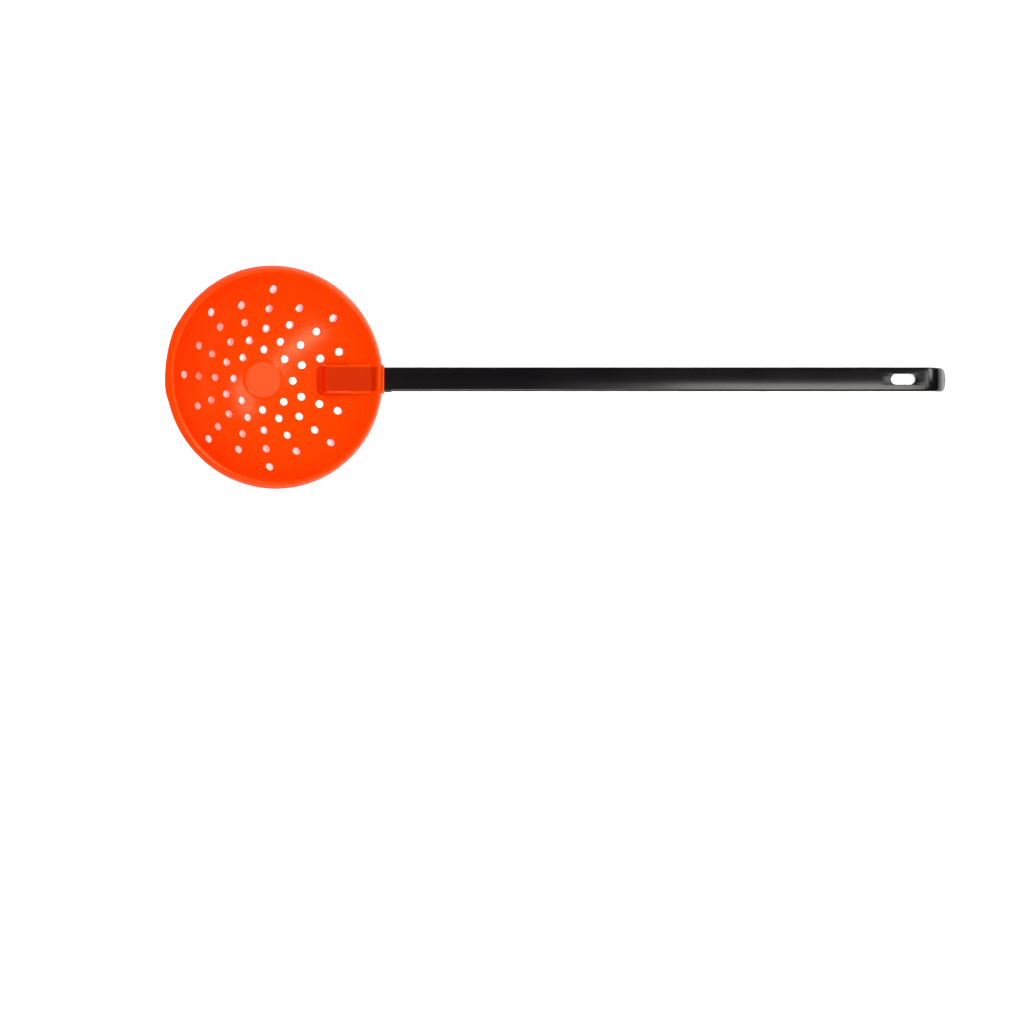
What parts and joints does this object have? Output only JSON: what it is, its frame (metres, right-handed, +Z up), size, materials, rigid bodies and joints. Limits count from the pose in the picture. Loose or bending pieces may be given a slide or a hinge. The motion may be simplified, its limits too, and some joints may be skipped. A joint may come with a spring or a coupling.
{
  "type": "ice skimmer scoop",
  "caption": "Round perforated plastic bowl with a moulded socket, on a long flat-bar handle in a dark sleeve, with a hanging slot and a bent tip.",
  "frame": {"origin": "on the table surface, below the middle of the overall length, on the plane of symmetry of the handle", "axes": "+X from the bowl towards the handle's tip, +Y across, +Z up from the table that the scoop lies on"},
  "size_m": [0.5102, 0.145, 0.067],
  "materials": {
    "bowl_plastic": "moulded, slightly translucent, satin gloss",
    "bar_aluminium": "mill finish, drawn lengthwise",
    "sleeve_pvc": "shrunk PVC sleeve, glossy",
    "screw_zinc": "zinc plated"
  },
  "bodies": {
    "root": {"bowl": "bowl_plastic", "handle_bar": "bar_aluminium", "handle_sleeve": "sleeve_pvc", "retaining_screw": "screw_zinc"}
  },
  "joints": []
}
